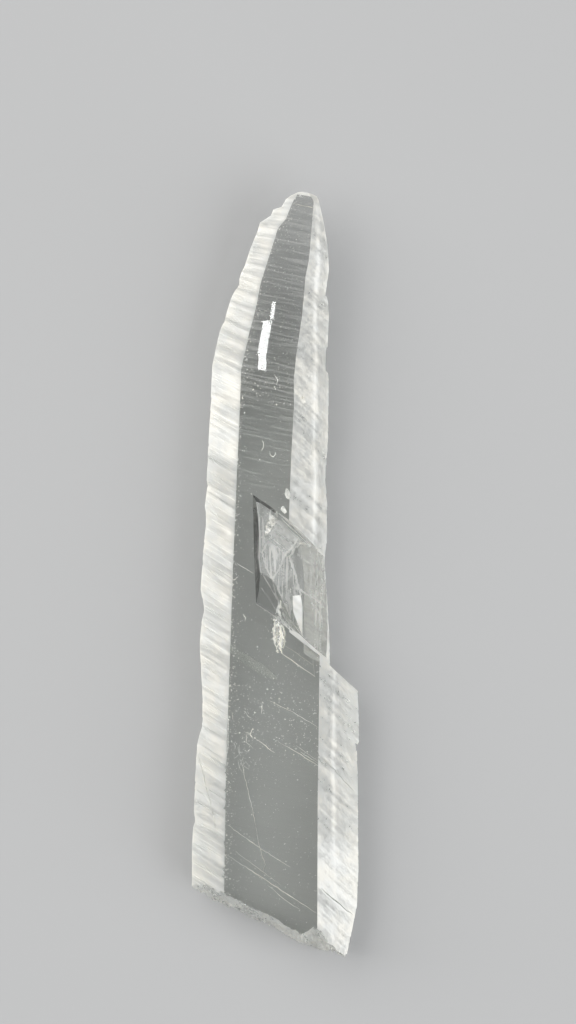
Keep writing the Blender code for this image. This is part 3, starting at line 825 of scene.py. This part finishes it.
def build_slit(tops, kind, path, width, depth, draw):
    """A V-shaped slit in the surface along a path, leaning as it goes down."""
    lean, segment, jitter = SLITS[kind]
    points = walk(path, segment, jitter, draw)
    shape = bmesh.new()
    rings = []
    for index, point in enumerate(points):
        before, after = points[max(index - 1, 0)], points[min(index + 1, len(points) - 1)]
        side = (after - before).orthogonal().normalized()
        taper = math.sin(math.pi * (index + 0.6) / (len(points) + 0.2)) ** 0.5
        half = side * width / 2 * taper * draw.uniform(SLIT_NARROWEST, 1.0) * (1.0 + SLIT_OVER / depth)
        foot = point + side * lean * depth
        top = point - side * lean * SLIT_OVER
        surface = surface_height(tops, *point)
        bottom = surface - depth * faded(taper)
        ring = [(*(top + half), surface + SLIT_OVER), (*(top - half), surface + SLIT_OVER), (*foot, bottom)]
        rings.append([shape.verts.new(Vector(corner) * MM) for corner in ring])
    for first, second in zip(rings, rings[1:]):
        for index in range(3):
            after = (index + 1) % 3
            shape.faces.new((first[index], first[after], second[after], second[index]))
    shape.faces.new(rings[0])
    shape.faces.new(rings[-1])
    bmesh.ops.triangulate(shape, faces=shape.faces)
    bmesh.ops.recalc_face_normals(shape, faces=shape.faces)
    return paint(shape, "crack" if kind == "crack" else "pit")


def build_cracks(tops):
    """The cracks, scratches and strands, and the tangle of fine scratches."""
    draw = np.random.default_rng(CRACK_SEED)
    shapes = [build_slit(tops, "crack", path, width, depth, draw) for width, depth, path in CRACKS]
    shapes += [build_slit(tops, "scratch", path, SCRATCH_WIDTH, SCRATCH_DEPTH, draw) for path in SCRATCHES]
    shapes += [build_slit(tops, "strand", path, width, STRAND_DEPTH, draw) for width, path in STRANDS]
    count, (x0, x1), (y0, y1), reach = TANGLE
    for _ in range(count):
        path = [Vector((draw.uniform(x0, x1), draw.uniform(y0, y1)))]
        length, turn = reach * draw.uniform(0.2, 1.0) ** 2, draw.normal(*TANGLE_WAY)
        for way in (turn, turn + draw.normal(0.0, TANGLE_BEND)):
            path.append(path[-1] + Vector((math.cos(way), math.sin(way))) * length / 2)
        shapes.append(build_slit(tops, "tangle", path, TANGLE_WIDTH, SCRATCH_DEPTH, draw))
    return shapes


def build_pit(tops, x, y, size, draw):
    spread = draw.normal(0.0, 1.0, (PIT_CORNERS, 3))
    spread /= np.linalg.norm(spread, axis=1)[:, None]
    middle = np.array((x, y, surface_height(tops, x, y)))
    return build_hull(middle + spread * np.array((size, size, PIT_FLATNESS * size)) / 2, "pit")


def build_pits(tops):
    """Grains and pits, scattered over the front face, along its left edge and along the fracture."""
    draw = np.random.default_rng(PIT_SEED)
    shapes = []
    for count, smallest, largest, (x0, x1), (y0, y1) in PIT_FIELDS:
        for _ in range(count):
            size = smallest + (largest - smallest) * draw.uniform() ** 3
            shapes.append(build_pit(tops, draw.uniform(x0, x1), draw.uniform(y0, y1), size, draw))
    for y in draw.uniform(*EDGE_PIT_REACH, EDGE_PITS):
        inset, band = EDGE_PIT_BAND
        x = value_at(LEFT_FACE_EDGE, y) + inset + band * draw.uniform() ** 3
        shapes.append(build_pit(tops, x, y, draw.uniform(*EDGE_PIT_SIZE), draw))
    for _ in range(STRAND_GRAINS):
        path = STRANDS[draw.integers(len(STRANDS))][1]
        spot = Vector(path[draw.integers(len(path))]) + Vector(draw.normal(0.0, STRAND_GRAIN_SPREAD, 2))
        shapes.append(build_pit(tops, *spot, draw.uniform(*STRAND_GRAIN_SIZE), draw))
    return shapes


def build_lens(zone):
    """A thin, wavy, lens-shaped gap inside the blade."""
    place, length, width, gap, wave, tilt, turn = LENSES[zone]
    shape = bmesh.new()
    bmesh.ops.create_uvsphere(shape, u_segments=LENS_SEGMENTS, v_segments=LENS_RINGS, radius=0.5)
    for vert in shape.verts:
        x, y, z = vert.co
        ragged = 1.0 + LENS_RAGGED * bump_at(x * LENS_RAGS[0], y * LENS_RAGS[1], 2.0)
        bent = wave * bump_at(x * width * LENS_WAVES[0], y * length * LENS_WAVES[1], 4.0)
        vert.co = (x * width * ragged, y * length, z * gap + bent)
    turned = Matrix.Rotation(math.radians(turn), 4, "Z") @ Matrix.Rotation(math.radians(tilt), 4, "Y")
    shape.transform(Matrix.Scale(MM, 4) @ Matrix.Translation(place) @ turned)
    return paint(shape, zone)


def build_break():
    """Everything past the rough break at the base: a block whose near face is hackly."""
    shape = bmesh.new()
    bmesh.ops.create_grid(shape, x_segments=BREAK_COLUMNS, y_segments=BREAK_ROWS, size=1.0)
    for vert in shape.verts:
        x = BREAK_HALF_WIDTH * vert.co.x
        height = THICKNESS * (0.5 + BREAK_HALF_HEIGHT * vert.co.y)
        share = min(max(height / THICKNESS, 0.0), 1.0)
        y = value_at(BREAK_BACK, x) + share * (value_at(BREAK_FRONT, x) - value_at(BREAK_BACK, x))
        spot = Vector((x, height, 2.0))
        rough = sum(size * noise.noise(spot * grain) for grain, size in BREAK_LUMPS)
        rough += BREAK_STEP * (noise.cell(spot * BREAK_STEPS) - 0.5)
        rough *= BREAK_ROUGHNESS * faded(math.sin(math.pi * share))
        vert.co = Vector((x, y + rough, height)) * MM
    moved = bmesh.ops.extrude_face_region(shape, geom=list(shape.faces))["geom"]
    for vert in moved:
        if isinstance(vert, bmesh.types.BMVert):
            vert.co.y = BREAK_END * MM
    bmesh.ops.recalc_face_normals(shape, faces=shape.faces)
    return paint(shape, "break")


def add_object(name, data, collection=None):
    thing = bpy.data.objects.new(name, data)
    (collection or scene.collection).objects.link(thing)
    return thing


def add_shape(name, shape, collection=None):
    mesh = bpy.data.meshes.new(name)
    shape.to_mesh(mesh)
    shape.free()
    return add_object(name, mesh, collection)


def build_crystal():
    """The blade with everything that is split, chipped or cracked out of it, as one closed mesh."""
    cutters = bpy.data.collections.new("cutters")
    noise.seed_set(CHIP_SEED)
    shapes = [build_chip(*chip) for chip in CHIPS]
    blade, recess = build_blade(), build_recess()
    tops = [BVHTree.FromBMesh(shape) for shape in (blade, recess)]
    crystal = add_shape("nifontovite_blade", blade)
    shapes += [build_break(), recess]
    shapes += [build_ledge(number) for number in range(LEDGE_COUNT)]
    shapes += [build_lens(zone) for zone in LENSES]
    shapes += build_cracks(tops) + build_pits(tops)
    made = [add_shape(f"cutter_{number}", shape, cutters) for number, shape in enumerate(shapes)]
    for thing in [crystal] + made:
        for zone in ZONES:
            thing.data.materials.append(None)
    modifier = crystal.modifiers.new("cuts", "BOOLEAN")
    modifier.operation = "DIFFERENCE"
    modifier.operand_type = "COLLECTION"
    modifier.solver = "EXACT"
    modifier.collection = cutters
    scene.collection.children.link(cutters)
    bpy.context.view_layer.update()
    whole = bpy.data.meshes.new_from_object(crystal.evaluated_get(bpy.context.evaluated_depsgraph_get()))
    crystal.modifiers.clear()
    crystal.data = whole
    for thing in made:
        bpy.data.objects.remove(thing, do_unlink=True)
    bpy.data.collections.remove(cutters)
    return crystal


def distance_to(line, x, y):
    """Distance of each point from a line of (x, y) points, seen from above."""
    nearest = np.full(x.shape, np.inf)
    for (x0, y0, *_), (x1, y1, *_) in zip(line, line[1:]):
        run_x, run_y = x1 - x0, y1 - y0
        share = np.clip(((x - x0) * run_x + (y - y0) * run_y) / (run_x ** 2 + run_y ** 2), 0.0, 1.0)
        nearest = np.minimum(nearest, np.hypot(x - x0 - share * run_x, y - y0 - share * run_y))
    return nearest


def glow(distance, strength, width):
    return strength * np.exp(-(distance / width) ** 2)


def frost_and_highlight_at(zone, x, y, cut):
    """How frosted the surface is at each corner in one zone, painted highlights included as extra frosting.
    """
    frost_and_highlight = np.full(x.shape, FROST[zone])
    if zone in ("bevel", "outer", "inner"):
        line = section_lines(cut)
    if zone == "bevel":
        frost_and_highlight += value_at(LEFT_FROST, y)
        # A painted highlight along the left rim, as extra frosting, and less frosting along the face's left
        # edge.
        frost_and_highlight += glow(x - line["left_rim"], *LEFT_RIM_PAINTED_HIGHLIGHT) + glow(x - line["left_edge"], *LEFT_EDGE_GLOW)
    if zone in ("outer", "inner"):
        # Extra frosting of both right bevels, and a painted highlight, as extra frosting, along the ridge
        # and the right rim.
        frost_and_highlight += value_at(RIGHT_FROST, y) + glow(x - line["ridge"], value_at(RIDGE_PAINTED_HIGHLIGHT, y), RIDGE_HIGHLIGHT_WIDTH)
        frost_and_highlight += glow(x - line["right_rim"], *RIGHT_RIM_PAINTED_HIGHLIGHT)
    if zone in ("recess", "window"):
        below_top = np.clip((WINDOW_LINES_TOP - y) / WINDOW_LINES_FADE, 0.0, 1.0)
        for place, strength in WINDOW_LINES:
            line_x = place + WINDOW_LINES_LEAN * y
            frost_and_highlight = np.maximum(frost_and_highlight, glow(x - line_x, strength * below_top, WINDOW_LINE_WIDTH))
    # Bright lines of extra frosting in the recess, painted highlights where they follow a facet's edge.
    if zone in ("recess", "window", "hatched", "speckled", "granular", "wedge", "lower_wall"):
        for strength, path in BRIGHT_LINES:
            frost_and_highlight = np.maximum(frost_and_highlight, glow(distance_to(path, x, y), strength, BRIGHT_LINE_WIDTH))
    return frost_and_highlight


def marks_at(zone, x, y, cut):
    """The amounts that the material reads at each corner in one zone, by name."""
    marks = {"frost_and_highlight": frost_and_highlight_at(zone, x, y, cut), "lines": 0.0}
    # Per zone: the painted shade, and the specks, hatch and mottle.
    for name, amounts in (("painted_shade", PAINTED_SHADE), ("specks", SPECKS), ("hatch", HATCH), ("mottle", MOTTLE)):
        marks[name] = amounts.get(zone, 0.0)
    if zone in ("face", "tip"):
        edge = glow(x - value_at(LEFT_FACE_EDGE, y), EDGE_SPECKS, EDGE_SPECK_WIDTH)
        marks["specks"] = np.maximum(value_at(FACE_SPECKS, y), edge)
        marks["lines"] = value_at(FACE_LINES, y)
    # Painted shade on the front face, the back and the recess's left wall, set along the length.
    if zone in ("face", "back", "wall"):
        marks["painted_shade"] = value_at(WALL_PAINTED_SHADE if zone == "wall" else FACE_PAINTED_SHADE, y)
    return marks


def read_items(items, name, kind=np.int32, width=1):
    values = np.empty(len(items) * width, dtype=kind)
    items.foreach_get(name, values)
    return values


def mark_surface(crystal):
    """Write what the material reads: the marks at each corner, and the cleavage plane of each vertex."""
    mesh = crystal.data
    zones = read_items(mesh.polygons, "material_index")
    corner_zone = np.repeat(zones, read_items(mesh.polygons, "loop_total"))
    owners = read_items(mesh.loops, "vertex_index")
    x, y, z = read_items(mesh.vertices, "co", np.float32, 3).reshape(-1, 3).T.astype(float) / MM
    cuts = cut_through(x, y, THICKNESS - z)
    marks = {name: np.zeros(len(owners)) for name in MARKS}
    for index, zone in enumerate(ZONES):
        chosen = corner_zone == index
        vert = owners[chosen]
        for name, values in marks_at(zone, x[vert], y[vert], cuts[vert]).items():
            marks[name][chosen] = values
    for name, values in marks.items():
        mesh.attributes.new(name, "FLOAT", "CORNER").data.foreach_set("value", values.astype(np.float32))
    mesh.attributes.new("cut", "FLOAT", "POINT").data.foreach_set("value", cuts.astype(np.float32))
    mesh.polygons.foreach_set("material_index", np.zeros(len(zones), dtype=np.int32))
    mesh.materials.clear()


def add_node(tree, kind, inputs=None, **settings):
    """A shader node with its settings and its inputs, each a plain value or what feeds it."""
    node = tree.nodes.new(kind)
    for key, value in settings.items():
        setattr(node, key, value)
    for key, value in (inputs or {}).items():
        if isinstance(value, bpy.types.NodeSocket):
            tree.links.new(value, node.inputs[key])
        else:
            node.inputs[key].default_value = value
    return node


def add_range(tree, name, source):
    """A value read and given out as RANGES says."""
    low, high, start, end = RANGES[name]
    inputs = {"Value": source, "From Min": low, "From Max": high, "To Min": start, "To Max": end}
    return add_node(tree, "ShaderNodeMapRange", inputs).outputs["Result"]


def add_math(tree, operation, first, second):
    return add_node(tree, "ShaderNodeMath", {0: first, 1: second}, operation=operation).outputs["Value"]


def add_noise(tree, name, place, second=None):
    """Noise over a place in metres, or over two values in millimetres and drawn out along the second."""
    scale, detail, roughness, stretch = NOISES[name]
    flat = second is not None
    if flat:
        second = add_math(tree, "MULTIPLY", second, stretch)
        place = add_node(tree, "ShaderNodeCombineXYZ", {"X": place, "Y": second}).outputs["Vector"]
    scale, dimensions = (scale, "2D") if flat else (scale / MM, "3D")
    inputs = {"Scale": scale, "Detail": detail, "Roughness": roughness, "Vector": place}
    return add_node(tree, "ShaderNodeTexNoise", inputs, noise_dimensions=dimensions).outputs["Fac"]


def add_tint(tree, factor, first, second):
    """A colour that goes from the first to the second; each is a colour or another tint."""
    colours = [(*colour, 1.0) if isinstance(colour, tuple) else colour for colour in (first, second)]
    inputs = {"Factor": factor, "A": colours[0], "B": colours[1]}
    return add_node(tree, "ShaderNodeMix", inputs, data_type="RGBA").outputs["Result"]


def add_marks(tree, mark, place):
    """The frosting in all, painted highlights included: broad frosting in streaks and patches, and lines,
    hatch and specks over it.
    """
    plus, times = partial(add_math, tree, "ADD"), partial(add_math, tree, "MULTIPLY")
    grade, grains = partial(add_range, tree), partial(add_noise, tree)
    split = add_node(tree, "ShaderNodeSeparateXYZ", {0: place}).outputs
    wide, long = times(split["X"], 1.0 / MM), times(split["Y"], 1.0 / MM)
    streaks = grains("streaks", mark["cut"], wide)
    cross = grains("cross", plus(long, times(wide, FACE_LINE_SLOPE)), wide)
    upright = grains("upright", wide, long)
    patches, grain, crust = (grains(name, place) for name in ("patches", "grain", "crust"))
    frost_and_highlight = times(mark["frost_and_highlight"], times(grade("streaks", streaks), grade("patches", patches)))
    frost_and_highlight = times(frost_and_highlight, grade("grain", grain))
    frost_and_highlight = add_math(tree, "SUBTRACT", frost_and_highlight, times(mark["mottle"], grade("crust", crust)))
    speckled = grade("specks", plus(grain, times(mark["specks"], SPECK_SPREAD)))
    specks = times(grade("speck_strength", mark["specks"]), speckled)
    rough = plus(plus(frost_and_highlight, times(mark["hatch"], grade("hatch", upright))), specks)
    frost_and_highlight = plus(rough, times(mark["lines"], grade("lines", cross)))
    return frost_and_highlight, rough, plus(streaks, times(grain, BUMP_GRAIN)), patches


def new_material(name):
    material = bpy.data.materials.new(name)
    material.use_nodes = True
    return material, material.node_tree, material.node_tree.nodes["Principled BSDF"].inputs


def crystal_material():
    """Clear borate: glassy faces, frosted and striated where the surface is stepped."""
    material, tree, shader = new_material("clear_crystal")
    link = tree.links.new
    shader["IOR"].default_value = IOR
    mark = {}
    for name in MARKS + ("cut",):
        mark[name] = add_node(tree, "ShaderNodeAttribute", attribute_name=name).outputs["Fac"]
    place = add_node(tree, "ShaderNodeTexCoord").outputs["Object"]
    frost_and_highlight, rough, height, patches = add_marks(tree, mark, place)
    link(add_range(tree, "clearness", frost_and_highlight), shader["Transmission Weight"])
    link(add_range(tree, "roughness", rough), shader["Roughness"])
    frosted = add_tint(tree, add_range(tree, "warmth", patches), FROSTED_COOL, FROSTED_WARM)
    tint = add_tint(tree, add_range(tree, "whiteness", frost_and_highlight), CLEAR_TINT, frosted)
    # Painted shade: the base colour is darkened towards black by the shade mark.
    link(add_tint(tree, mark["painted_shade"], tint, BLACK), shader["Base Color"])
    bump = {"Distance": BUMP * MM, "Height": height, "Strength": mark["frost_and_highlight"]}
    link(add_node(tree, "ShaderNodeBump", bump).outputs["Normal"], shader["Normal"])
    absorb = add_node(tree, "ShaderNodeVolumeAbsorption", {"Color": (*ABSORBED, 1.0), "Density": ABSORPTION})
    link(absorb.outputs["Volume"], tree.nodes["Material Output"].inputs["Volume"])
    return material


def add_floor():
    shape = bmesh.new()
    bmesh.ops.create_grid(shape, x_segments=1, y_segments=1, size=FLOOR_SIZE)
    floor = add_shape("floor", shape)
    floor.location.z = -FLOOR_GAP
    material, _, shader = new_material("pale_floor")
    for name, value in FLOOR_LOOK.items():
        shader[name].default_value = value
    floor.data.materials.append(material)


def add_area(name, place, target, size, power, colour=(1.0, 1.0, 1.0)):
    lamp = bpy.data.lights.new(name, "AREA")
    lamp.shape = "RECTANGLE"
    lamp.size, lamp.size_y = size
    lamp.energy = power
    lamp.color = colour
    thing = add_object(name, lamp)
    thing.location = place
    thing.rotation_euler = (Vector(target) - Vector(place)).to_track_quat("-Z", "Y").to_euler()
    thing.visible_camera = False
    return thing


def add_lights():
    for name, (place, size, power, colour) in LAMPS.items():
        add_area(name, place, (0, 0, 0), size, power, colour)
    world = bpy.data.worlds.new("studio")
    scene.world = world
    world.use_nodes = True
    background = world.node_tree.nodes["Background"].inputs
    background["Color"].default_value = (1.0, 1.0, 1.0, 1.0)
    background["Strength"].default_value = WORLD_STRENGTH
    scene.view_settings.view_transform = "Standard"


def camera_place():
    x, y = (-PIXEL * part for part in BLADE_OFFSET)
    return Vector((x, y, VIEW_PLANE + CAMERA_DISTANCE))


def add_camera():
    lens = bpy.data.cameras.new("camera")
    lens.sensor_width = SENSOR
    lens.lens = SENSOR * CAMERA_DISTANCE / (PICTURE_HEIGHT * PIXEL)
    lens.clip_start = CLIP_START * MM
    camera = add_object("camera", lens)
    camera.location = camera_place() * MM
    scene.camera = camera


def face_height(x, y):
    return float(value_at(FRONT_HEIGHT, cut_through(x, y, 0.0)))


def add_streaks():
    """The lamps whose mirror images make the bright streaks on the upper front face."""
    camera = camera_place()
    for (x, y), image, turn, (near_x, near_y) in STREAKS:
        height = face_height(near_x, near_y)
        slope_x = (face_height(near_x + SLOPE_STEP, near_y) - height) / SLOPE_STEP
        slope_y = (face_height(near_x, near_y + SLOPE_STEP) - height) / SLOPE_STEP
        spot = Vector((x, y, height + slope_x * (x - near_x) + slope_y * (y - near_y)))
        mirrored = (spot - camera).reflect(Vector((-slope_x, -slope_y, 1.0)).normalized())
        place = spot + mirrored * (STREAK_HEIGHT / mirrored.z)
        spread = 1.0 + STREAK_HEIGHT / (camera.z - spot.z)
        size = [side * spread * MM for side in image]
        below = (place.x * MM, place.y * MM, 0.0)
        lamp = add_area("window", place * MM, below, size, STREAK_RADIANCE * math.pi * size[0] * size[1])
        lamp.rotation_euler = (0.0, 0.0, math.radians(turn))


crystal = build_crystal()
mark_surface(crystal)
crystal.data.materials.append(crystal_material())
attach(crystal, "root")
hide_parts(NODE)
add_floor()
add_lights()
add_streaks()
add_camera()
